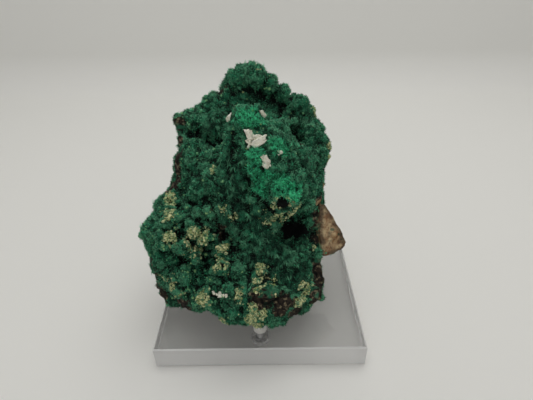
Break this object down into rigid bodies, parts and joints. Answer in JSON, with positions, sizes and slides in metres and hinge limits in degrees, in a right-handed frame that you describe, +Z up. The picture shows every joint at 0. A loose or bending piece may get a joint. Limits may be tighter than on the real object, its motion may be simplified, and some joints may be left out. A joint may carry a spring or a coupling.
{
  "type": "malachite specimen",
  "caption": "Mineral specimen: velvety green malachite crust on brown matrix with small white crystals, standing on pegs on a clear square acrylic display slab.",
  "frame": {"origin": "centre of the slab's underside, on the surface that the object stands on", "axes": "+Z up, -Y the side that faces the viewer, +X to the viewer's right"},
  "size_m": [0.0824, 0.077, 0.094],
  "materials": {
    "malachite_stone": "velvety dark green crust of fine needles and small balls, with lime-green rims and bare dark brown and orange-tan matrix at the edges and back",
    "white_crystal": "small blocky warm-white crystals, translucent at the edges",
    "clear_acrylic": "clear polished acrylic with slightly frosted sawn sides",
    "white_peg": "white satin plastic with a rounded end",
    "steel_screw": "bright steel"
  },
  "bodies": {
    "root": {"malachite_stone": "malachite_stone", "acrylic_base": "clear_acrylic", "peg_front": "white_peg", "peg_back_left": "white_peg", "peg_back_right": "white_peg", "screw_front": "steel_screw", "screw_back_left": "steel_screw", "screw_back_right": "steel_screw", "crystal_spike": "white_crystal", "crystal_top": "white_crystal", "crystal_large": "white_crystal", "crystal_middle": "white_crystal", "crystal_small": "white_crystal", "crystal_low": "white_crystal"}
  },
  "joints": []
}
